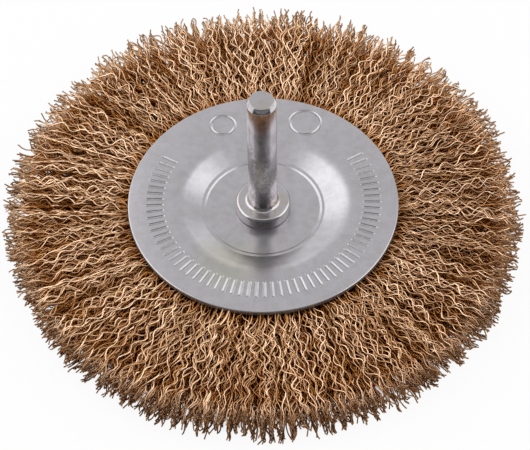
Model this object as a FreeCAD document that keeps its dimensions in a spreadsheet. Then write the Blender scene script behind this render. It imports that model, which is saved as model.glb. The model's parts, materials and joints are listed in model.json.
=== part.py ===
"""Shank-mounted wheel brush: folded, crimped wires clamped between two pressed plates on a riveted spindle.

Millimetres. +Z runs up the shank, and the origin lies on the shank's axis at the level of the lowest wire tips.
Every piece is drawn about the clamping plane, where the floors of the two plates meet, and is then lifted to it.
"""
import FreeCAD, Part

import os
import re

import Sketcher
from FreeCAD import Placement, Rotation, Vector

# Driving sizes
SIZES = {
    # Turned spindle
    "shank_diameter": "6.0",
    "shank_length": "31.5",  # from the collar's face to the tip
    "tip_chamfer_width": "0.55",
    "tip_chamfer_height": "1.1",
    "foot_chamfer": "0.3",  # where the shank meets the collar
    "collar_diameter": "11.4",
    "collar_height": "2.9",
    "collar_chamfer": "0.35",
    "tenon_diameter": "5.0",  # the reduced end that goes through both plates
    "rivet_head_diameter": "8.6",
    "rivet_head_height": "1.5",
    "rivet_head_bevel": "0.3",
    # Pressed plates, both the same
    "plate_diameter": "56.5",
    "sheet_thickness": "1.0",
    "dish_depth": "2.5",
    "floor_diameter": "23.8",  # flat floor of the dish, inside the coined step
    "step_width": "0.35",
    "step_height": "0.3",
    "slope_width": "5.0",
    "shoulder_bevel": "0.6",  # along each side of the bend from slope to rim
    "tenon_clearance": "0.05",
    # Retaining ring inside the fold of the wires
    "ring_section": "2.2",  # side of its square section
    "ring_clearance": "0.1",
    # Crimped wires
    "wheel_diameter": "106.0",
    "wheel_width": "8.0",  # across the tips
    "fold_thickness": "2.0",  # of wire on the inside of the ring
    "plate_clearance": "0.1",  # between the fold and the plates' bend
    "crimp_length": "6.5",  # one full wave
    "crimp_height": "1.3",  # peak to peak
    "bunch_count": "16",
    "strand_gap": "0.16",
    "tooth_depth": "2.2",  # of the notches between the tips
    "tooth_uneven": "0.7",
    "left_trim": "0.5",  # how much the left strand of a bunch is shorter than its middle one
    "right_trim": "0.9",
    "left_thinning": "0.35",  # how much lower its tips stand on each side
    "right_thinning": "0.6",
    "saw_margin": "1.0",  # by which cutting profiles run past the material
}

# The three strands of a bunch, by place from the middle, with the sizes by which each is trimmed and thinned
STRANDS = {
    "strand_right": (-1, "right_trim", "right_thinning"),
    "strand_middle": (0, None, None),
    "strand_left": (1, "left_trim", "left_thinning"),
}

# Sizes that follow from the driving ones
FORMULAS = {
    "shank_radius": "shank_diameter / 2",
    "collar_radius": "collar_diameter / 2",
    "tenon_radius": "tenon_diameter / 2",
    "head_radius": "rivet_head_diameter / 2",
    "collar_top": "sheet_thickness + collar_height",
    "shank_top": "collar_top + shank_length",
    "head_bottom": "-sheet_thickness - rivet_head_height",
    "clamp_level": "wheel_width / 2",
    "plate_radius": "plate_diameter / 2",
    "floor_radius": "floor_diameter / 2",
    "step_radius": "floor_radius + step_width",
    "step_level": "sheet_thickness + step_height",
    "rim_level": "sheet_thickness + dish_depth",
    "slope_tangent": "(dish_depth - step_height) / slope_width",
    "half_bend": "tan(atan(slope_tangent) / 2)",
    "shoulder_outside": "step_radius + slope_width",
    "shoulder_inside": "shoulder_outside + sheet_thickness * half_bend",
    "floor_inside": "shoulder_inside - dish_depth / slope_tangent",
    "fold_inner": "shoulder_inside + plate_clearance",
    "eye_inner": "fold_inner + fold_thickness",
    "ring_inner_radius": "eye_inner + ring_clearance",
    "ring_outer_radius": "ring_inner_radius + ring_section",
    "ring_half": "ring_section / 2",
    "eye_outer": "ring_outer_radius + ring_clearance",
    "eye_half": "ring_half + ring_clearance",
    "wheel_radius": "wheel_diameter / 2",
    "strand_count": f"(bunch_count * {len(STRANDS)})",
    "strand_turn": "360 / strand_count",
    "bunch_turn": "360 / bunch_count",
    "stock_half": "wheel_width / 2 + saw_margin",
}

# Two places nearer than this are the same one
SAME_PLACE = 1e-6

doc = FreeCAD.newDocument("wire_wheel_brush")
sheet = doc.addObject("Spreadsheet::Sheet", "Sizes")


def fill_sheet():
    """Writes each driving size into the sheet under its own name."""
    for row, (name, number) in enumerate(SIZES.items(), start=1):
        sheet.set(f"A{row}", name.replace("_", " "))
        sheet.set(f"B{row}", number)
        sheet.setAlias(f"B{row}", name)
    doc.recompute()


def spelled(formula):
    """A formula with every named size spelled out in cells of the sheet."""

    def spell(word):
        name = word.group()
        if name in FORMULAS:
            return f"({spelled(FORMULAS[name])})"
        return f"Sizes.{name}"

    return re.sub(r"[a-z]+(?:_[a-z]+)+", spell, formula)


def value(formula):
    """The number that a formula gives now."""
    return float(sheet.evalExpression(spelled(formula)))


def bind(thing, setting, formula):
    """Ties one setting of an object to the sheet."""
    thing.setExpression(setting, spelled(formula))


def plane_of(body, role):
    """One of the body's own origin planes."""
    return next(part for part in body.Origin.OriginFeatures if part.Role == role)


def outline(body, name, role, *loops):
    """A sketch of closed straight-sided loops, each corner placed by two formulas."""
    sketch = body.newObject("Sketcher::SketchObject", name)
    sketch.AttachmentSupport = (plane_of(body, role), [""])
    sketch.MapMode = "FlatFace"
    for loop in loops:
        first = sketch.GeometryCount
        corners = [Vector(value(across), value(up), 0) for across, up in loop]
        for start, end in zip(corners, corners[1:] + corners[:1]):
            sketch.addGeometry(Part.LineSegment(start, end), False)
        for side in range(len(loop)):
            following = first + (side + 1) % len(loop)
            sketch.addConstraint(Sketcher.Constraint("Coincident", first + side, 2, following, 1))
        for side, (across, up) in enumerate(loop, start=first):
            place(sketch, side, "DistanceX", -2, across)
            place(sketch, side, "DistanceY", -1, up)
    return sketch


def place(sketch, side, direction, axis, formula):
    """Holds the start of one side on an axis, or at a formula's distance from the sketch's origin."""
    if formula == "0":
        sketch.addConstraint(Sketcher.Constraint("PointOnObject", side, 1, axis))
        return
    distance = Sketcher.Constraint(direction, -1, 1, side, 1, value(formula))
    number = sketch.addConstraint(distance)
    bind(sketch, f"Constraints[{number}]", formula)


def revolved(body, name, section):
    """A full turn of a section about its upright axis."""
    turn = body.newObject("PartDesign::Revolution", name)
    turn.Profile = section
    turn.ReferenceAxis = (section, ["V_Axis"])
    turn.Angle = 360
    doc.recompute()
    return turn


def circle_at(feature, radius, level):
    """The name of the circular edge at a radius and a level, both given as formulas."""
    for number, edge in enumerate(feature.Shape.Edges, start=1):
        if not isinstance(edge.Curve, Part.Circle):
            continue
        off_radius = abs(edge.Curve.Radius - value(radius))
        off_level = abs(edge.BoundBox.Center.z - value(level))
        if max(off_radius, off_level) < SAME_PLACE:
            return f"Edge{number}"
    raise ValueError(f"{feature.Label} has no circle of radius {radius} at level {level}")


def bevelled(body, name, base, radius, level, size):
    """A bevel on one circular edge of the body's last feature."""
    bevel = body.newObject("PartDesign::Chamfer", name)
    bevel.Base = (base, [circle_at(base, radius, level)])
    bind(bevel, "Size", size)
    body.Tip = bevel
    doc.recompute()


def lift(piece):
    """Raises a piece from the clamping plane's own level to its place above the lowest tips."""
    bind(piece, "Placement.Base.z", "clamp_level")


def make_spindle():
    """One turned bar: shank, collar, tenon, and the head that riveting gives the tenon's end."""
    body = doc.addObject("PartDesign::Body", "spindle")
    section = outline(body, "spindle_section", "XZ_Plane", [
        ("0", "head_bottom"),
        ("head_radius - rivet_head_bevel", "head_bottom"),
        ("head_radius", "head_bottom + rivet_head_bevel"),
        ("head_radius", "-sheet_thickness"),
        ("tenon_radius", "-sheet_thickness"),
        ("tenon_radius", "sheet_thickness"),
        ("collar_radius", "sheet_thickness"),
        ("collar_radius", "collar_top - collar_chamfer"),
        ("collar_radius - collar_chamfer", "collar_top"),
        ("shank_radius", "collar_top"),
        ("shank_radius", "shank_top - tip_chamfer_height"),
        ("shank_radius - tip_chamfer_width", "shank_top"),
        ("0", "shank_top"),
    ])
    turned = revolved(body, "spindle_turning", section)
    bevelled(body, "foot", turned, "shank_radius", "collar_top", "foot_chamfer")
    lift(body)
    return body


def make_plate(name):
    """The pressing that is used twice: floor, coined step, slope, shoulder bend and flat rim."""
    body = doc.addObject("PartDesign::Body", name)
    section = outline(body, f"{name}_section", "XZ_Plane", [
        ("tenon_radius + tenon_clearance", "0"),
        ("tenon_radius + tenon_clearance", "sheet_thickness"),
        ("floor_radius", "sheet_thickness"),
        ("step_radius", "step_level"),
        ("shoulder_outside", "rim_level"),
        ("plate_radius", "rim_level"),
        ("plate_radius", "dish_depth"),
        ("shoulder_inside", "dish_depth"),
        ("floor_inside", "0"),
    ])
    pressed = revolved(body, f"{name}_pressing", section)
    bevelled(body, f"{name}_shoulder", pressed, "shoulder_outside", "rim_level", "shoulder_bevel")
    lift(body)
    return body


def make_ring():
    """The closed square-section ring that the wires are folded over."""
    body = doc.addObject("PartDesign::Body", "retaining_ring")
    section = outline(body, "ring_section_outline", "XZ_Plane", [
        ("ring_inner_radius", "-ring_half"),
        ("ring_outer_radius", "-ring_half"),
        ("ring_outer_radius", "ring_half"),
        ("ring_inner_radius", "ring_half"),
    ])
    revolved(body, "ring_turning", section)
    lift(body)
    return body


def tip_of(trim):
    """How far from the axis a strand reaches."""
    return f"wheel_radius - {trim}" if trim else "wheel_radius"


def crimp_stations():
    """Distances from the axis at which every strand's crimp turns back, from the plates' rim outwards."""
    shortest = min(value(tip_of(trim)) for offset, trim, thinning in STRANDS.values())
    free_length = shortest - value("tooth_depth + plate_radius")
    turns = int(free_length / value("crimp_length / 2"))
    return [f"plate_radius + {count} * crimp_length / 2" for count in range(1, turns + 1)]


def plan_of_strand(tip):
    """A strand seen along the shank: a wedge that waves with the crimp and ends in two uneven tips."""
    half = "({station}) * tan(strand_turn / 2) - strand_gap / 2"
    left = []
    right = []
    bends = [("fold_inner", "0"), ("plate_radius", "0")]
    for count, station in enumerate(crimp_stations()):
        bends.append((station, "crimp_height / 2" if count % 2 == 0 else "-crimp_height / 2"))
    for station, shift in bends:
        width = half.format(station=station)
        left.append((station, f"{shift} + {width}"))
        right.append((station, f"{shift} - ({width})"))
    quarter = f"({tip}) * tan(strand_turn / 2) / 2"
    ends = [(f"{tip} - tooth_uneven", f"-{quarter}"), (f"{tip} - tooth_depth", "0"), (tip, quarter)]
    return right + ends + left[::-1]


def side_cuts_of_strand(tip, tip_half):
    """What is sawn off a strand seen from the side: above it, below it, and the eye for the ring."""
    beyond = f"{tip} + saw_margin"
    before = "fold_inner - saw_margin"
    above = [
        (before, "dish_depth"),
        ("plate_radius", "dish_depth"),
        (tip, tip_half),
        (beyond, tip_half),
        (beyond, "stock_half"),
        (before, "stock_half"),
    ]
    below = [(across, f"-({up})") for across, up in above]
    eye = [
        ("eye_inner", "-eye_half"),
        ("eye_outer", "-eye_half"),
        ("eye_outer", "eye_half"),
        ("eye_inner", "eye_half"),
    ]
    return above, below, eye


def make_strand(name, trim, thinning):
    """One crimped strand, folded over the ring: waved in plan, flared in side view."""
    tip = tip_of(trim)
    tip_half = f"wheel_width / 2 - {thinning}" if thinning else "wheel_width / 2"
    body = doc.addObject("PartDesign::Body", name)
    stock = body.newObject("PartDesign::Pad", f"{name}_stock")
    stock.Profile = outline(body, f"{name}_plan", "XY_Plane", plan_of_strand(tip))
    stock.SideType = "Symmetric"
    bind(stock, "Length", "2 * stock_half")
    doc.recompute()
    shaped = body.newObject("PartDesign::Pocket", f"{name}_side")
    shaped.Profile = outline(body, f"{name}_cuts", "XZ_Plane", *side_cuts_of_strand(tip, tip_half))
    shaped.SideType = "Symmetric"
    shaped.Type = "ThroughAll"
    body.Tip = shaped
    doc.recompute()
    if not shaped.Shape.Volume < stock.Shape.Volume:
        raise ValueError(f"the side cuts of {name} removed nothing")
    return body


def make_bunch(number, strands):
    """Three strands side by side, turned to their place round the wheel."""
    links = []
    for name, (offset, trim, thinning) in STRANDS.items():
        link = doc.addObject("App::Link", f"{name}_{number:02d}")
        link.LinkedObject = strands[name]
        link.Placement = Placement(Vector(), Rotation(Vector(0, 0, 1), 1))
        bind(link, "Placement.Rotation.Angle", f"{offset} * strand_turn")
        links.append(link)
    bunch = doc.addObject("Part::Compound", f"wire_bunch_{number:02d}")
    bunch.Links = links
    bunch.Placement = Placement(Vector(), Rotation(Vector(0, 0, 1), 1))
    bind(bunch, "Placement.Rotation.Angle", f"{number - 1} * bunch_turn")
    lift(bunch)
    return bunch


def check(pieces):
    """Stops if any object failed to build, or any piece is empty or broken."""
    for thing in doc.Objects:
        if "Invalid" in thing.State or "Error" in thing.State:
            raise ValueError(f"{thing.Label} did not build")
    for piece in pieces:
        if piece.Shape.isNull() or not piece.Shape.isValid():
            raise ValueError(f"{piece.Label} is not a sound solid")


fill_sheet()
spindle = make_spindle()
front_plate = make_plate("front_plate")
back_plate = make_plate("back_plate")
back_plate.Placement = Placement(Vector(), Rotation(Vector(1, 0, 0), 180))
retaining_ring = make_ring()
strands = {name: make_strand(name, trim, thinning) for name, (offset, trim, thinning) in STRANDS.items()}
bunches = [make_bunch(number, strands) for number in range(1, round(value("bunch_count")) + 1)]
doc.recompute()

pieces = [spindle, front_plate, back_plate, retaining_ring] + bunches
check(pieces)
os.makedirs("parts", exist_ok=True)
for piece in pieces:
    piece.Shape.exportStep(f"parts/{piece.Label}.step")
    box = piece.Shape.BoundBox
    print(f"{piece.Label}: {len(piece.Shape.Solids)} solids, {piece.Shape.Volume:.1f} mm3, "
          f"z {box.ZMin:.2f} to {box.ZMax:.2f}")
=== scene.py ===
"""Looks of the shank-mounted wheel brush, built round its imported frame.

Metres. +Z runs up the shank, and the brush lies on its back on the floor at z = 0.
"""

import json
import math
import random

import bmesh
import bpy
from mathutils import Matrix, Vector


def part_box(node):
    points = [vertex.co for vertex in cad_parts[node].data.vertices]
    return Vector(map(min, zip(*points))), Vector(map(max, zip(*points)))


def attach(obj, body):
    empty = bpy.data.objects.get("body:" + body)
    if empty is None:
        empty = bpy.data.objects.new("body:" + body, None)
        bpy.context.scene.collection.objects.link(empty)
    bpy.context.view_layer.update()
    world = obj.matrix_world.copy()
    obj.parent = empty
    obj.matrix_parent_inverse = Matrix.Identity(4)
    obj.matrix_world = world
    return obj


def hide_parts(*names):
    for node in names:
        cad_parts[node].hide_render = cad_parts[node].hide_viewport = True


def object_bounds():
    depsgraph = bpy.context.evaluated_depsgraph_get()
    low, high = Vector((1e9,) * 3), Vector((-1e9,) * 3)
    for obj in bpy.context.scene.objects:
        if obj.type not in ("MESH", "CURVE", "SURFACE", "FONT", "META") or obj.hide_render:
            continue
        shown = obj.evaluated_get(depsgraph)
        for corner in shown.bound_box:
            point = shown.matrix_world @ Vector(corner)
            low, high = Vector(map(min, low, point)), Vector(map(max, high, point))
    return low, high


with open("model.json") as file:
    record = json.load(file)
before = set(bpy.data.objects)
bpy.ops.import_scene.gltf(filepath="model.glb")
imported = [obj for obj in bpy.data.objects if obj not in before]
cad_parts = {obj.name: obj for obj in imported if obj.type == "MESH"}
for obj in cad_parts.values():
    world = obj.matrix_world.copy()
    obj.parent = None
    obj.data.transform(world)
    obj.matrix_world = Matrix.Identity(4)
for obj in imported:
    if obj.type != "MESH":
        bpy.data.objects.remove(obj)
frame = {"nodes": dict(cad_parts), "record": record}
cad_low, cad_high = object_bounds()

# Spindle: one steel bar, turned to a chamfered shank, a collar with a rounded edge and a tenon, which goes
# through both plates and is riveted over at the back. The steel is bright, streaked along the bar, and
# stained where it was handled.
MM = 0.001
TURN = 2 * math.pi
SHANK_RADIUS = frame["record"]["mounts"][0]["dims"]["r_mm"] * MM
TIP_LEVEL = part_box("spindle")[1].z
HEAD_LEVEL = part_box("spindle")[0].z
COLLAR_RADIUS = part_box("spindle")[1].x
CLAMP_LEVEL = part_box("front_plate")[0].z
SHEET = 1.0 * MM
FLOOR_LEVEL = CLAMP_LEVEL + SHEET
BACK_FLOOR_LEVEL = CLAMP_LEVEL - SHEET
COLLAR_TOP = FLOOR_LEVEL + 2.9 * MM
TENON_RADIUS = 2.5 * MM
HEAD_RADIUS = 4.3 * MM
HEAD_ROUND = 0.9 * MM
TIP_CHAMFER_WIDTH = 0.55 * MM
TIP_CHAMFER_HEIGHT = 1.1 * MM
TIP_CHAMFER_ROUND = 0.25 * MM
TIP_ROUND = 0.12 * MM
FOOT_FILLET = 0.8 * MM
COLLAR_ROUND = 0.6 * MM
COLLAR_FOOT = 0.3 * MM
TURNED_STEPS = 96
ROUND_SEGMENTS = 6
SAME_PLACE = 0.001 * MM
SHARP_TURN = math.radians(18)
BRIGHT_STEEL = (0.66, 0.635, 0.66, 1)
FACED_STEEL = (0.385, 0.37, 0.385, 1)
STAIN = (0.36, 0.32, 0.30, 1)
STREAK_STRETCH = (1, 1, 0.04)
SURFACE_DEPTH = 0.02 * MM
# Shaders measure in millimetres, so the places where a finish changes are plain numbers of them.
FACED_RADII = (2.95, 3.2)
FACED_DEPTHS = (0.25, 0.05)


class Number:
    """A number in a shader: arithmetic on it adds Math nodes."""

    def __init__(self, finish, socket):
        self.finish = finish
        self.socket = socket

    def maths(self, operation, *others):
        values = dict(enumerate((self, *others)))
        return self.finish.number("ShaderNodeMath", "Value", {"operation": operation}, values)

    def __add__(self, other):
        return self.maths("ADD", other)

    def __mul__(self, other):
        return self.maths("MULTIPLY", other)

    def __sub__(self, other):
        return self.maths("SUBTRACT", other)

    def __rsub__(self, other):
        return self * -1 + other

    __radd__ = __add__
    __rmul__ = __mul__

    def ramp(self, low, high):
        """0 below low, 1 above high and smooth between."""
        settings = {"interpolation_type": "SMOOTHSTEP"}
        span = {"Value": self, "From Min": low, "From Max": high}
        return self.finish.number("ShaderNodeMapRange", "Result", settings, span)


def distance(across, up):
    """How far a point lies from nought, as a shader's number."""
    return (across * across + up * up).maths("SQRT")


class Finish:
    """A surface's shader nodes, added one at a time."""

    def __init__(self, owner):
        owner.use_nodes = True
        self.owner = owner
        self.nodes = owner.node_tree.nodes
        self.links = owner.node_tree.links

    def node(self, kind, settings=None, values=None):
        """One node: its settings first, then a value or a link for each socket, by name or place."""
        made = self.nodes.new(kind)
        for setting, choice in (settings or {}).items():
            setattr(made, setting, choice)
        for key, given in (values or {}).items():
            self.feed(made, key, given)
        return made

    def feed(self, node, key, given):
        """Gives one socket of a node its value or its link."""
        socket = next(s for place, s in enumerate(node.inputs) if key in (place, s.identifier, s.name))
        if isinstance(given, Number):
            given = given.socket
        if isinstance(given, bpy.types.NodeSocket):
            self.links.new(given, socket)
        else:
            socket.default_value = given

    def number(self, kind, output, settings=None, values=None):
        return Number(self, self.node(kind, settings, values).outputs[output])

    def place(self, stretch=(1, 1, 1)):
        """The point on the object, in millimetres, with a pattern's stretch along each axis."""
        here = self.node("ShaderNodeTexCoord").outputs["Object"]
        mapped = {"Vector": here, "Scale": [share / MM for share in stretch]}
        return self.node("ShaderNodeMapping", None, mapped).outputs["Vector"]

    def axes(self, vector):
        """The three numbers of a vector."""
        split = self.node("ShaderNodeSeparateXYZ", None, {"Vector": vector})
        return [Number(self, part) for part in split.outputs]

    def noise(self, place, scale, detail=3.0, roughness=0.5):
        values = {"Vector": place, "Scale": scale, "Detail": detail, "Roughness": roughness}
        return self.number("ShaderNodeTexNoise", "Fac", None, values)

    def mix(self, factor, first, second):
        values = {"Factor_Float": factor, "A_Color": first, "B_Color": second}
        mixed = self.node("ShaderNodeMix", {"data_type": "RGBA"}, values)
        return next(s for s in mixed.outputs if s.identifier == "Result_Color")

    def bump(self, height, strength):
        values = {"Height": height, "Distance": SURFACE_DEPTH, "Strength": strength}
        return self.node("ShaderNodeBump", None, values).outputs["Normal"]


def placed(name, data):
    """A new object of the scene."""
    made = bpy.data.objects.new(name, data)
    bpy.context.scene.collection.objects.link(made)
    return made


def meshed(name, shape):
    """A mesh of a finished bmesh, which is freed."""
    mesh = bpy.data.meshes.new(name)
    shape.to_mesh(mesh)
    shape.free()
    return mesh


def turned(name, corners, steps):
    """A solid of revolution.

    A corner of its section is (radius, level), and a rounded one is (radius, level, rounding radius).
    """
    shape = bmesh.new()
    points = [shape.verts.new((corner[0], 0, corner[1])) for corner in corners]
    for start, end in zip(points, points[1:]):
        shape.edges.new((start, end))
    if corners[0][0] > 0:
        shape.edges.new((points[-1], points[0]))
    for place, corner in enumerate(corners):
        if len(corner) == 3:
            here = Vector(corner[:2])
            before = (Vector(corners[place - 1][:2]) - here).normalized()
            after = (Vector(corners[(place + 1) % len(corners)][:2]) - here).normalized()
            tangent = corner[2] / math.tan(before.angle(after) / 2)
            bmesh.ops.bevel(shape, geom=[points[place]], offset=tangent, offset_type="OFFSET",
                            affect="VERTICES", segments=ROUND_SEGMENTS, profile=0.5, material=-1)
    bmesh.ops.spin(shape, geom=shape.verts[:] + shape.edges[:], axis=(0, 0, 1), cent=(0, 0, 0), angle=TURN,
                   steps=steps, use_merge=True)
    bmesh.ops.remove_doubles(shape, verts=shape.verts, dist=SAME_PLACE)
    bmesh.ops.recalc_face_normals(shape, faces=shape.faces)
    mesh = meshed(name, shape)
    mesh.shade_smooth()
    mesh.set_sharp_from_angle(angle=SHARP_TURN)
    return placed(name, mesh)


def dress(piece, finish, node):
    """Gives a piece its material and its place on the part."""
    piece.data.materials.append(finish)
    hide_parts(node)
    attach(piece, "root")


def spindle_steel():
    """Bright turned steel, duller on the collar, the head and the faced tip."""
    finish = Finish(bpy.data.materials.new("turned_steel"))
    shader = finish.nodes["Principled BSDF"]
    place = finish.place()
    x, y, z = finish.axes(place)
    streaks = finish.noise(finish.place(STREAK_STRETCH), scale=3.0, detail=4.0)
    speckle = finish.noise(place, scale=2.2, detail=5.0, roughness=0.6)
    handled = finish.noise(place, scale=0.3).ramp(0.38, 0.6) * speckle.ramp(0.35, 0.6)
    tip_face = z.ramp(*(TIP_LEVEL / MM - depth for depth in FACED_DEPTHS))
    faced = distance(x, y).ramp(*FACED_RADII) + tip_face
    steel = finish.mix(faced, BRIGHT_STEEL, FACED_STEEL)
    finish.feed(shader, "Base Color", finish.mix(handled, steel, STAIN))
    finish.feed(shader, "Metallic", 1.0)
    finish.feed(shader, "Roughness", 0.10 + streaks * 0.08 + handled * 0.04)
    finish.feed(shader, "Normal", finish.bump(streaks + speckle * 0.5, strength=0.35))
    return finish.owner


spindle = turned("turned_spindle", [
    (0, HEAD_LEVEL),
    (HEAD_RADIUS, HEAD_LEVEL, HEAD_ROUND),
    (HEAD_RADIUS, BACK_FLOOR_LEVEL),
    (TENON_RADIUS, BACK_FLOOR_LEVEL),
    (TENON_RADIUS, FLOOR_LEVEL),
    (COLLAR_RADIUS, FLOOR_LEVEL, COLLAR_FOOT),
    (COLLAR_RADIUS, COLLAR_TOP, COLLAR_ROUND),
    (SHANK_RADIUS, COLLAR_TOP, FOOT_FILLET),
    (SHANK_RADIUS, TIP_LEVEL - TIP_CHAMFER_HEIGHT, TIP_CHAMFER_ROUND),
    (SHANK_RADIUS - TIP_CHAMFER_WIDTH, TIP_LEVEL, TIP_ROUND),
    (0, TIP_LEVEL),
], TURNED_STEPS)
dress(spindle, spindle_steel(), "spindle")

# Front plate: zinc-plated sheet steel, blanked and pressed in one stroke to a dish with a coined step round
# its floor. The slope runs softly into the flat rim, whose upper edge the blanking rolled over. The strokes
# and the plain rings round the rim are stamped.
PLATE_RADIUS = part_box("front_plate")[1].x
RIM_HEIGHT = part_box("front_plate")[1].z - CLAMP_LEVEL
HOLE_RADIUS = 2.55 * MM
DISH_FLOOR_RADIUS = 11.9 * MM
STEP_RADIUS = DISH_FLOOR_RADIUS + 0.4 * MM
STEP_HEIGHT = 0.27 * MM
STEP_ROUND = 0.35 * MM
LEDGE_RADIUS = STEP_RADIUS + 0.55 * MM
LEDGE_ROUND = 0.7 * MM
SHOULDER_RADIUS = 17.7 * MM
SHOULDER_ROUND = 6.5 * MM
ROLLED_EDGE = 0.3 * MM
SHEARED_EDGE = 0.05 * MM
SHOULDER_UNDERSIDE = 17.9 * MM
SHOULDER_UNDERSIDE_ROUND = 2.0 * MM
FLOOR_UNDERSIDE = 11.78 * MM
FLOOR_UNDERSIDE_ROUND = 1.0 * MM
PLATE_STEPS = 192
ZINC = (0.40, 0.39, 0.41, 1)
# Painted reflection: the yellowish tint of the dish's front left.
REFLECTION_TINTED_ZINC = (0.375, 0.365, 0.325, 1)
DULL_ZINC = (0.30, 0.29, 0.30, 1)
CUT_STEEL = (0.30, 0.27, 0.25, 1)
SCUFF_STRETCH = (0.12, 1, 1)
STROKE_TURN = math.radians(4)
STROKE_DEPTH = 0.22 * MM
UNSTAMPED_SLOPE = 0.6
# In millimetres, for the shader. A ring is its middle's x and y and its radius.
# The painted yellowish reflection: its middle, and the radii over which it fades out.
REFLECTION_TINT_PLACE = (-7, -15)
REFLECTION_TINT_RADII = (2, 10)
CUT_DEPTHS = (0.02, 0.005)
STROKE_INNER = 20.7
STROKE_OUTER = 24.7
STROKE_HALF = 0.4
UNSTAMPED_EDGE = 0.2
RINGS = ((-8.4, 20.6, 2.6), (9.3, 21.0, 3.3))


def plate_section(sign):
    """The pressing's section, with sign 1 for the front plate and -1 for the back one, turned over."""
    heights = [
        (HOLE_RADIUS, 0),
        (HOLE_RADIUS, SHEET),
        (DISH_FLOOR_RADIUS, SHEET, STEP_ROUND),
        (STEP_RADIUS, SHEET + STEP_HEIGHT, STEP_ROUND),
        (LEDGE_RADIUS, SHEET + STEP_HEIGHT, LEDGE_ROUND),
        (SHOULDER_RADIUS, RIM_HEIGHT, SHOULDER_ROUND),
        (PLATE_RADIUS, RIM_HEIGHT, ROLLED_EDGE),
        (PLATE_RADIUS, RIM_HEIGHT - SHEET, SHEARED_EDGE),
        (SHOULDER_UNDERSIDE, RIM_HEIGHT - SHEET, SHOULDER_UNDERSIDE_ROUND),
        (FLOOR_UNDERSIDE, 0, FLOOR_UNDERSIDE_ROUND),
    ]
    return [(corner[0], CLAMP_LEVEL + sign * corner[1], *corner[2:]) for corner in heights]


def stamped(x, y):
    """1 in the radial strokes and on the plain rings. The strokes leave the back of the rim bare."""
    radius = distance(x, y)
    along = (y.maths("ARCTAN2", x) * (1 / STROKE_TURN)).maths("FRACT") - 0.5
    sideways = along.maths("ABSOLUTE") * radius * STROKE_TURN
    stroke = 1 - sideways.ramp(0, STROKE_HALF)
    inner_end = radius.ramp(STROKE_INNER, STROKE_INNER + STROKE_HALF)
    outer_end = 1 - radius.ramp(STROKE_OUTER - STROKE_HALF, STROKE_OUTER)
    front = 1 - (y - x.maths("ABSOLUTE") * UNSTAMPED_SLOPE).ramp(0.0, UNSTAMPED_EDGE)
    marks = stroke * (inner_end * outer_end) * front
    for right, up, size in RINGS:
        off = (distance(x - right, y - up) - size).maths("ABSOLUTE")
        marks = marks + (1 - off.ramp(0, STROKE_HALF))
    return marks


def plated_sheet(name, marked):
    """Satin zinc with clouds, blotches, scuffs and a painted yellowish reflection at the dish's front left,
    and bare steel at the sheared edge.
    """
    finish = Finish(bpy.data.materials.new(name))
    shader = finish.nodes["Principled BSDF"]
    place = finish.place()
    x, y = finish.axes(place)[:2]
    clouds = finish.noise(place, scale=0.16, detail=5.0, roughness=0.6)
    blotches = finish.noise(place, scale=0.6, detail=4.0, roughness=0.6).ramp(0.35, 0.7)
    grain = finish.noise(place, scale=3.5, detail=4.0, roughness=0.65)
    scuffs = finish.noise(finish.place(SCUFF_STRETCH), scale=1.1, detail=5.0, roughness=0.65).ramp(0.55, 0.8)
    cut = distance(x, y).ramp(*(PLATE_RADIUS / MM - depth for depth in CUT_DEPTHS))
    height = grain * 0.12 + scuffs * 0.06
    if marked:
        height = height - stamped(x, y) * (STROKE_DEPTH / SURFACE_DEPTH)
    # Painted reflection: a yellowish tint on the dish's front left slope.
    painted_reflection_tint = 1 - distance(x - REFLECTION_TINT_PLACE[0], y - REFLECTION_TINT_PLACE[1]).ramp(*REFLECTION_TINT_RADII)
    dulled = clouds.ramp(0.4, 0.75) * 0.3 + scuffs * 0.25 + blotches * 0.35
    plating = finish.mix(dulled, finish.mix(painted_reflection_tint, ZINC, REFLECTION_TINTED_ZINC), DULL_ZINC)
    finish.feed(shader, "Base Color", finish.mix(cut, plating, CUT_STEEL))
    finish.feed(shader, "Metallic", 0.82)
    finish.feed(shader, "Roughness", 0.18 + clouds * 0.08 + grain * 0.04 + cut * 0.2)
    finish.feed(shader, "Normal", finish.bump(height, strength=1.0))
    return finish.owner


front_plate = turned("pressed_front_plate", plate_section(1), PLATE_STEPS)
dress(front_plate, plated_sheet("plated_front", True), "front_plate")

# Back plate: a second pressing of the same zinc-plated sheet, turned over and left unstamped, which holds
# the wires from below. The spindle's riveted head sits in its dish and clamps the two plates together.
back_plate = turned("pressed_back_plate", plate_section(-1), PLATE_STEPS)
dress(back_plate, plated_sheet("plated_back", False), "back_plate")

# Retaining ring: a closed ring of plain drawn steel of square section, between the plates, with the wires
# folded over it. Its shape is the frame's own.
RING_STEEL = (0.36, 0.35, 0.35, 1)
DRAWN_STRETCH = (1, 1, 6)


def drawn_steel():
    """Plain steel with the lines of drawing round it."""
    finish = Finish(bpy.data.materials.new("ring_steel"))
    shader = finish.nodes["Principled BSDF"]
    lines = finish.noise(finish.place(DRAWN_STRETCH), scale=0.8, detail=4.0)
    finish.feed(shader, "Base Color", finish.mix(lines, RING_STEEL, STAIN))
    finish.feed(shader, "Metallic", 1.0)
    finish.feed(shader, "Roughness", 0.35 + lines * 0.15)
    return finish.owner


ring = frame["nodes"]["retaining_ring"]
ring.data.materials.clear()
ring.data.materials.append(drawn_steel())

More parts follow.
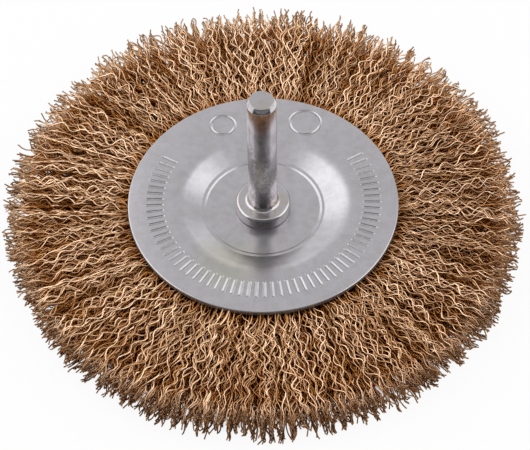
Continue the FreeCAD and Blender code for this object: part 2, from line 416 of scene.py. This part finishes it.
# Crimped wires: thin brass-coated steel wires, crimped before they are cut and folded in two over the ring,
# so that both ends of each stand out between the plates. Neighbours nest in tufts, and the tips are trimmed
# to one face, a little raggedly and out of round.
random.seed(105)
BUNCHES = 16
FOLDED_WIRES = 139
LOCKS = 12
LOCK_SCATTER = 0.02
LOCK_TILT = 0.5
LOCK_TRIM = 0.7 * MM
WIRE_RADIUS = 0.165 * MM
WIRE_SIDES = 3
WHEEL_RADIUS = cad_high.x
WHEEL_WIDTH = 8.0 * MM
HALF_WAVE = 2.25 * MM
CRIMP_HEIGHT = 1.7 * MM
CRIMPS = 11
SPARE_CRIMPS = 4
WAVE_LENGTHS = (0.92, 1.15)
STEP_LENGTHS = (0.85, 1.15)
WAVE_HEIGHTS = (0.6, 1.2)
SWINGS = (0.4, 1.3)
LEG_HEIGHTS = (0.8, 1.2)
CLINGS = (0.3, 0.9)
NESTED_SHARE = 0.35
NESTED_SHIFT = 0.3 * MM
NESTED_TILT = 0.25
FREE_TILT = 1.1
LEAN = 3.4 * MM
BOW = 1.2 * MM
SAG = 0.4 * MM
WEAVE = 0.5 * MM
TIP_REACH = 1.1 * MM
TIP_LOSS = 1.5 * MM
TIP_RISE = 0.4 * MM
TIP_LENGTH = 0.4 * MM
TIP_SWING = -0.3
OUT_OF_ROUND = 0.6 * MM
TIP_FLATTENED = 0.5
LONGEST = WHEEL_RADIUS + 1.4 * MM
LOWEST = WIRE_RADIUS * 1.2
ROOT_CLEARANCE = 0.15 * MM
ROOT_HALF = 2.15 * MM
HEADROOM = 8.0 * MM
RING_BORE = 19.66 * MM
RING_HALF = 1.1 * MM
FOLD_CLEARANCE = 0.2 * MM
FOLD_DEPTH = 1.5 * MM
FOLD_RISE = 1.0 * MM
FOLD_START = 0.8 * MM
FOLD_ROUNDING = 0.8
CURVE_STEPS = 3
BURIED_STEPS = 2
BURIED_LAYERS = 0.45
WIRE_COLOUR = (1.0, 0.71, 0.475, 1)
DARK_WIRE = (0.38, 0.17, 0.04, 1)
# Painted shade: the colour that wires deep inside the wheel and under the plates' rims are darkened towards.
SHADED_INNER_WIRE = (0.35, 0.115, 0.005, 1)
# Tip colour: dull wear on the cut ends, together with painted shade of the fringe.
WORN_AND_SHADED_TIP = (0.17, 0.065, 0.02, 1)
EDGE_TINT = (0.75, 0.45, 0.22, 1)
COAT = 0.08
COAT_ROUGHNESS = 0.2
# In millimetres, for the shader.
INNER_HALF_WIDTH = 0.7
# Depths below the wheel's faces over which the painted inner shade comes in.
INNER_SHADE_DEPTHS = (0.2, 1.9)
OPEN_RADII = (48, 52)
# How far past the plates' rims the painted shadow on the wires begins and ends.
RIM_SHADOW_REACHES = (0.5, 3.5)
# Where the tips' wear and painted shade start and end, measured in from the wheel's edge.
WEAR_AND_SHADE_DEPTHS = (3.0, -0.5)


def crimps():
    """The places where a wire's waves turn, from beyond the tips inwards, and how far each swings aside."""
    radius = LONGEST + random.random() * HALF_WAVE
    step = HALF_WAVE * random.uniform(*WAVE_LENGTHS)
    height = CRIMP_HEIGHT * random.uniform(*WAVE_HEIGHTS) * random.choice((-1, 1))
    places = []
    for count in range(CRIMPS + SPARE_CRIMPS):
        places.append((radius, height * (-1) ** count * random.uniform(*SWINGS)))
        radius -= step * random.uniform(*STEP_LENGTHS)
    return places


class Lock:
    """Neighbouring wires that lie together: their crimps nest and their tips cling."""

    def __init__(self, turn):
        self.turn = turn
        self.tilt = random.gauss(0, LOCK_TILT)
        self.trim = random.gauss(0, LOCK_TRIM) - OUT_OF_ROUND * math.cos(2 * turn)
        self.crimps = crimps()


def point(turn, radius, level, sideways=0.0, upwards=0.0):
    """A point of the wheel by turn and radius, shifted sideways and upwards, and kept above the floor."""
    outwards = Vector((math.cos(turn), math.sin(turn), 0))
    across = Vector((-math.sin(turn), math.cos(turn), 0))
    return outwards * radius + across * sideways + Vector((0, 0, max(level + upwards, LOWEST)))


def leg(turn, side, layer, locks):
    """Control points of one end of a wire, from its tip in to the plates' edge.

    Side is 1 for the upper end and -1 for the lower one. Layer is 0 in the wheel's middle and 1 at its faces.
    """
    tip_turn = turn + random.gauss(0, LEAN) / WHEEL_RADIUS
    lock = min(locks, key=lambda one: abs(one.turn - tip_turn))
    nested = random.random() < NESTED_SHARE
    shift = random.gauss(0, NESTED_SHIFT)
    waves = [(radius + shift, swing) for radius, swing in lock.crimps] if nested else crimps()
    tilt = lock.tilt + random.gauss(0, NESTED_TILT) if nested else random.uniform(-FREE_TILT, FREE_TILT)
    height = random.uniform(*LEG_HEIGHTS)
    cling = random.uniform(*CLINGS)
    bow = random.gauss(0, BOW)
    sag = random.gauss(0, SAG)
    tip = min(LONGEST, WHEEL_RADIUS + TIP_REACH + lock.trim - abs(random.gauss(0, TIP_LOSS)))
    root_level = CLAMP_LEVEL + side * (ROOT_CLEARANCE + ROOT_HALF * layer)
    tip_level = CLAMP_LEVEL + side * layer * (WHEEL_WIDTH / 2 - ROOT_CLEARANCE) + random.gauss(0, TIP_RISE)
    turns = [wave for wave in waves if wave[0] < tip - TIP_LENGTH][:CRIMPS]
    points = []
    for radius, swing in [(tip, turns[0][1] * TIP_SWING)] + turns:
        share = (radius - PLATE_RADIUS) / (WHEEL_RADIUS - PLATE_RADIUS)
        spread = min(1, max(0, share))
        here = turn + (tip_turn - turn) * spread
        here += (lock.turn - here) * cling * spread ** 4
        belly = math.sin(math.pi * spread)
        swing *= height * (1 - TIP_FLATTENED * spread ** 6)
        level = root_level + (tip_level - root_level) * spread ** 0.8 + sag * belly
        level += random.gauss(0, WEAVE) * spread ** 0.5
        limit = ROOT_CLEARANCE + HEADROOM * spread
        upwards = max(-limit, min(limit, swing * math.sin(tilt)))
        points.append(point(here, radius, level, swing * math.cos(tilt) + bow * belly, upwards))
    return points


def folded_wire(turn, layer, locks):
    """Control points of a whole wire: in from one tip, round the ring and out to the other."""
    front = leg(turn, 1, layer, locks)
    back = leg(turn, -1, layer, locks)
    inside = RING_BORE - FOLD_CLEARANCE - FOLD_DEPTH * layer
    over = RING_HALF + FOLD_CLEARANCE + FOLD_RISE * layer
    fold = [
        point(turn, RING_BORE + FOLD_START, CLAMP_LEVEL, 0, over),
        point(turn, inside, CLAMP_LEVEL, 0, over * FOLD_ROUNDING),
        point(turn, inside, CLAMP_LEVEL, 0, -over * FOLD_ROUNDING),
        point(turn, RING_BORE + FOLD_START, CLAMP_LEVEL, 0, -over),
    ]
    return front + fold + back[::-1]


def wire_section():
    """The three-sided outline that each wire is drawn with."""
    outline = bpy.data.curves.new("wire_section", "CURVE")
    sides = outline.splines.new("POLY")
    sides.points.add(WIRE_SIDES - 1)
    for number, corner in enumerate(sides.points):
        turn = TURN * number / WIRE_SIDES
        corner.co = (WIRE_RADIUS * math.cos(turn), WIRE_RADIUS * math.sin(turn), 0, 1)
    sides.use_cyclic_u = True
    return placed("wire_section", outline)


def drawn_as_mesh(name, curve):
    """The mesh of a curve with its section and caps."""
    drawn = placed(name + "_drawn", curve)
    ready = drawn.evaluated_get(bpy.context.evaluated_depsgraph_get())
    mesh = bpy.data.meshes.new_from_object(ready)
    bpy.data.objects.remove(drawn)
    mesh.shade_smooth()
    return mesh


def bunch(number, section):
    """All wires of one bunch as a mesh, with one shade for each wire."""
    name = f"wires_{number:02d}"
    width = TURN / BUNCHES
    middle = (number - 1) * width
    locks = [Lock(middle + width * ((place + 0.5) / LOCKS - 0.5 + random.gauss(0, LOCK_SCATTER)))
             for place in range(-1, LOCKS + 1)]
    curve = bpy.data.curves.new(name, "CURVE")
    curve.dimensions = "3D"
    curve.bevel_mode = "OBJECT"
    curve.bevel_object = section
    curve.use_fill_caps = True
    shades = []
    for wire in range(FOLDED_WIRES):
        turn = middle + width * ((wire + random.random()) / FOLDED_WIRES - 0.5)
        layer = random.random()
        steps = BURIED_STEPS if layer < BURIED_LAYERS else CURVE_STEPS
        route = folded_wire(turn, layer, locks)
        rows = steps * (len(route) - 1) + 2
        shades += [random.random()] * WIRE_SIDES * rows
        spline = curve.splines.new("NURBS")
        spline.resolution_u = steps
        spline.points.add(len(route) - 1)
        spline.points.foreach_set("co", [value for stop in route for value in (*stop, 1)])
        spline.order_u = 3
        spline.use_endpoint_u = True
    mesh = drawn_as_mesh(name, curve)
    mesh.attributes.new("wire_shade", "FLOAT", "POINT").data.foreach_set("value", shades)
    return placed(name, mesh)


def coated_wire():
    """Brass with a shade for each wire, painted shade inside the wheel and painted shadow by the plates, and
    tips dulled by wear and darkened by painted shade.
    """
    finish = Finish(bpy.data.materials.new("coated_wire"))
    shader = finish.nodes["Principled BSDF"]
    place = finish.place()
    x, y, z = finish.axes(place)
    radius = distance(x, y)
    half_width = INNER_HALF_WIDTH + radius * (WHEEL_WIDTH / 2 / WHEEL_RADIUS)
    covered = half_width - (z - CLAMP_LEVEL / MM).maths("ABSOLUTE")
    # Painted shade: wires further below the wheel's faces are darker, except out near the tips.
    painted_inner_shade = covered.ramp(*INNER_SHADE_DEPTHS) * (1 - radius.ramp(*OPEN_RADII))
    # Painted shadow: wires are darker where they come out from under the plates' rims.
    painted_rim_shadow = 1 - radius.ramp(*(PLATE_RADIUS / MM + reach for reach in RIM_SHADOW_REACHES))
    # Tips dulled by wear and darkened by painted shade of the fringe; the wear also roughens them.
    tip_wear_and_shade = radius.ramp(*(WHEEL_RADIUS / MM - depth for depth in WEAR_AND_SHADE_DEPTHS))
    own = finish.number("ShaderNodeAttribute", "Fac", {"attribute_name": "wire_shade"})
    blotches = finish.noise(place, scale=1.4, detail=2.0)
    shaded = finish.mix(own.ramp(0.2, 0.95) * 0.75 + blotches.ramp(0.5, 0.8) * 0.25, WIRE_COLOUR, DARK_WIRE)
    # The painted inner shade and the painted shadow by the plates' rims darken the wires' colour here.
    shaded = finish.mix(painted_inner_shade * 0.85 + painted_rim_shadow * 0.6, shaded, SHADED_INNER_WIRE)
    finish.feed(shader, "Base Color", finish.mix(tip_wear_and_shade * 0.7, shaded, WORN_AND_SHADED_TIP))
    finish.feed(shader, "Metallic", 0.9)
    finish.feed(shader, "Roughness", 0.22 + own * 0.12 + tip_wear_and_shade * 0.15)
    finish.feed(shader, "Specular Tint", EDGE_TINT)
    finish.feed(shader, "Coat Weight", COAT)
    finish.feed(shader, "Coat Roughness", COAT_ROUGHNESS)
    return finish.owner


section = wire_section()
wire_finish = coated_wire()
for number in range(1, BUNCHES + 1):
    dress(bunch(number, section), wire_finish, f"wire_bunch_{number:02d}")
bpy.data.objects.remove(section)

# Floor: a plain white table top that runs out of sight. It keeps the brush's shadow under the wires and fades
# to nearly pure white away from them, and from below it is clear.
FLOOR_HALF = 3.0
FLOOR_WHITE = (0.86, 0.86, 0.86, 1)
WHITE = (1, 1, 1, 1)
FADED = 0.92
# In millimetres, for the shader.
FADING_RADII = (41, 53)


def seen_white(finish):
    """1 for what the camera, metal and glass see, and 0 for what only lights the object."""
    rays = finish.node("ShaderNodeLightPath").outputs
    kinds = ("Camera", "Glossy", "Transmission")
    camera, gloss, glass = (Number(finish, rays[f"Is {kind} Ray"]) for kind in kinds)
    return (camera + gloss + glass).maths("MINIMUM", 1.0)


def table_top():
    """Matt white that glows where it is seen away from the brush."""
    finish = Finish(bpy.data.materials.new("floor"))
    matt = finish.nodes["Principled BSDF"]
    finish.feed(matt, "Base Color", FLOOR_WHITE)
    finish.feed(matt, "Roughness", 1.0)
    glow = finish.node("ShaderNodeEmission", None, {"Color": WHITE, "Strength": 1.0})
    clear = finish.node("ShaderNodeBsdfTransparent")
    x, y = finish.axes(finish.place())[:2]
    away = distance(x, y).ramp(*FADING_RADII)
    above = finish.node("ShaderNodeMixShader", None, {
        "Fac": seen_white(finish) * away * FADED, 1: matt.outputs["BSDF"], 2: glow.outputs["Emission"]})
    below = finish.node("ShaderNodeNewGeometry").outputs["Backfacing"]
    both = finish.node("ShaderNodeMixShader", None, {
        "Fac": below, 1: above.outputs["Shader"], 2: clear.outputs["BSDF"]})
    finish.feed(finish.nodes["Material Output"], "Surface", both.outputs["Shader"])
    return finish.owner


shape = bmesh.new()
bmesh.ops.create_grid(shape, x_segments=1, y_segments=1, size=FLOOR_HALF)
floor = placed("floor", meshed("floor", shape))
floor.data.materials.append(table_top())

# World: a plain studio with no walls in sight. It is white where the camera, metal or glass sees it, and
# elsewhere an even soft light.
AMBIENT = 0.55


def studio():
    """The world's light, and its white where it is seen."""
    finish = Finish(bpy.data.worlds.new("studio"))
    soft = finish.nodes["Background"]
    finish.feed(soft, "Color", WHITE)
    finish.feed(soft, "Strength", AMBIENT)
    bright = finish.node("ShaderNodeBackground", None, {"Color": WHITE, "Strength": 1.0})
    sky = finish.node("ShaderNodeMixShader", None, {
        "Fac": seen_white(finish), 1: soft.outputs["Background"], 2: bright.outputs["Background"]})
    finish.feed(finish.nodes["World Output"], "Surface", sky.outputs["Shader"])
    return finish.owner


bpy.context.scene.world = studio()

# Front card: a dark curved board with its foot on the floor, which stands round the front of the brush and
# leans over it, out of the picture. Only bright metal shows it, as the dark middle of the shank and collar.
CARD_RADIUS = 0.60
CARD_FOOT = 0.10
CARD_TOP = math.radians(80)
CARD_TURN = math.radians(60)
CARD_ROWS = 10
CARD_COLUMNS = 16
CARD_FLOOR = (0.05, 0.05, 0.055, 1)
CARD_LOW = (0.27, 0.27, 0.28, 1)
CARD_DARK = (0.07, 0.07, 0.08, 1)
CARD_SIDE = (0.85, 0.85, 0.85, 1)
# In millimetres, for the shader.
FOOT_FADE = (45, 80)
LOW_FADE = (230, 400)
TOP_FADE = (510, 575)
SIDE_FADE = (150, 340)


def curved_board():
    """A quarter circle from the floor up, swept round the front of the brush."""
    shape = bmesh.new()
    stops = [shape.verts.new((0, -CARD_FOOT, MM))]
    for row in range(CARD_ROWS + 1):
        lean = CARD_TOP * row / CARD_ROWS
        stops.append(shape.verts.new((0, -CARD_RADIUS * math.cos(lean), CARD_RADIUS * math.sin(lean) + MM)))
    for start, end in zip(stops, stops[1:]):
        shape.edges.new((start, end))
    bmesh.ops.rotate(shape, verts=stops, cent=(0, 0, 0), matrix=Matrix.Rotation(-CARD_TURN, 3, "Z"))
    bmesh.ops.spin(shape, geom=shape.verts[:] + shape.edges[:], axis=(0, 0, 1), cent=(0, 0, 0),
                   angle=2 * CARD_TURN, steps=CARD_COLUMNS)
    return meshed("front_card", shape)


def board_shades():
    """Dark in the middle, grey low down, near black at the foot, and white at the sides and the top."""
    finish = Finish(bpy.data.materials.new("front_card"))
    x, _, height = finish.axes(finish.place())
    aside = x.maths("ABSOLUTE").ramp(*SIDE_FADE)
    shade = finish.mix(height.ramp(*LOW_FADE), CARD_LOW, finish.mix(aside, CARD_DARK, CARD_SIDE))
    shade = finish.mix(height.ramp(*FOOT_FADE), CARD_FLOOR, shade)
    shade = finish.mix(height.ramp(*TOP_FADE), shade, WHITE)
    board = finish.node("ShaderNodeEmission", None, {"Color": shade, "Strength": 1.0})
    finish.feed(finish.nodes["Material Output"], "Surface", board.outputs["Emission"])
    return finish.owner


card = placed("front_card", curved_board())
card.data.materials.append(board_shades())
card.visible_camera = False
card.visible_diffuse = False
card.visible_shadow = False
card.visible_transmission = False

# Lamps: two tall soft boxes at the brush's left and right, whose reflections stand on the dish's slopes and
# on the sides of the shank, and a weak low one behind it. Each is brightest in the middle and fades outwards.
LAMPS = {
    "box_left": ((-0.444, 0.119, 0.386), (1.16, 0.68), 3.8),
    "box_right": ((0.459, -0.01, 0.386), (0.90, 0.68), 2.8),
    "box_behind": ((0, 0.60, 0.24), (0.95, 0.36), 0.50),
}
LAMP_FADE = (0.26, 0.5)
RIM_MIDDLE = Vector((0, 0, CLAMP_LEVEL + RIM_HEIGHT))


def soft_box(name, place, size, energy):
    """A lamp that looks at the middle of the plate's rim."""
    lamp = bpy.data.lights.new(name, "AREA")
    lamp.shape = "RECTANGLE"
    lamp.size, lamp.size_y = size
    lamp.energy = energy
    finish = Finish(lamp)
    parts = finish.axes(finish.node("ShaderNodeNewGeometry").outputs["Parametric"])
    across, up = (1 - (part - 0.5).maths("ABSOLUTE").ramp(*LAMP_FADE) for part in parts[:2])
    finish.feed(finish.nodes["Emission"], "Strength", across * up)
    aim = (RIM_MIDDLE - Vector(place)).to_track_quat("-Z", "Y").to_matrix().to_4x4()
    holder = placed(name, lamp)
    holder.matrix_world = Matrix.Translation(place) @ aim


for name, (place, size, energy) in LAMPS.items():
    soft_box(name, place, size, energy)

# Camera: at the photograph's angle, from the front and above, and level to within a degree. The middle of
# the plate's rim stands where it does in the photograph.
PICTURE_WIDTH = 530
PICTURE_HEIGHT = 450
FOCAL_PIXELS = 1919.3
RANGE = 0.400
DOWN = math.radians(52.96)
ROLL = math.radians(-0.95)
RIM_PIXEL = (263.1, 200.5)
SENSOR = 36.0
NEAREST = 0.01
FARTHEST = 20.0
forward = Vector((0, math.cos(DOWN), -math.sin(DOWN)))
level_right = Vector((1, 0, 0))
level_up = Vector((0, math.sin(DOWN), math.cos(DOWN)))
right = level_right * math.cos(ROLL) + level_up * math.sin(ROLL)
up = level_up * math.cos(ROLL) - level_right * math.sin(ROLL)
off_right = (RIM_PIXEL[0] - PICTURE_WIDTH / 2) / FOCAL_PIXELS * RANGE
off_up = (PICTURE_HEIGHT / 2 - RIM_PIXEL[1]) / FOCAL_PIXELS * RANGE
eye = RIM_MIDDLE - right * off_right - up * off_up - forward * RANGE
camera = placed("camera", bpy.data.cameras.new("camera"))
camera.data.sensor_width = SENSOR
camera.data.lens = FOCAL_PIXELS / PICTURE_WIDTH * SENSOR
camera.data.clip_start = NEAREST
camera.data.clip_end = FARTHEST
camera.matrix_world = Matrix.Translation(eye) @ Matrix((right, up, -forward)).transposed().to_4x4()
bpy.context.scene.camera = camera
bpy.context.scene.view_settings.view_transform = "Standard"
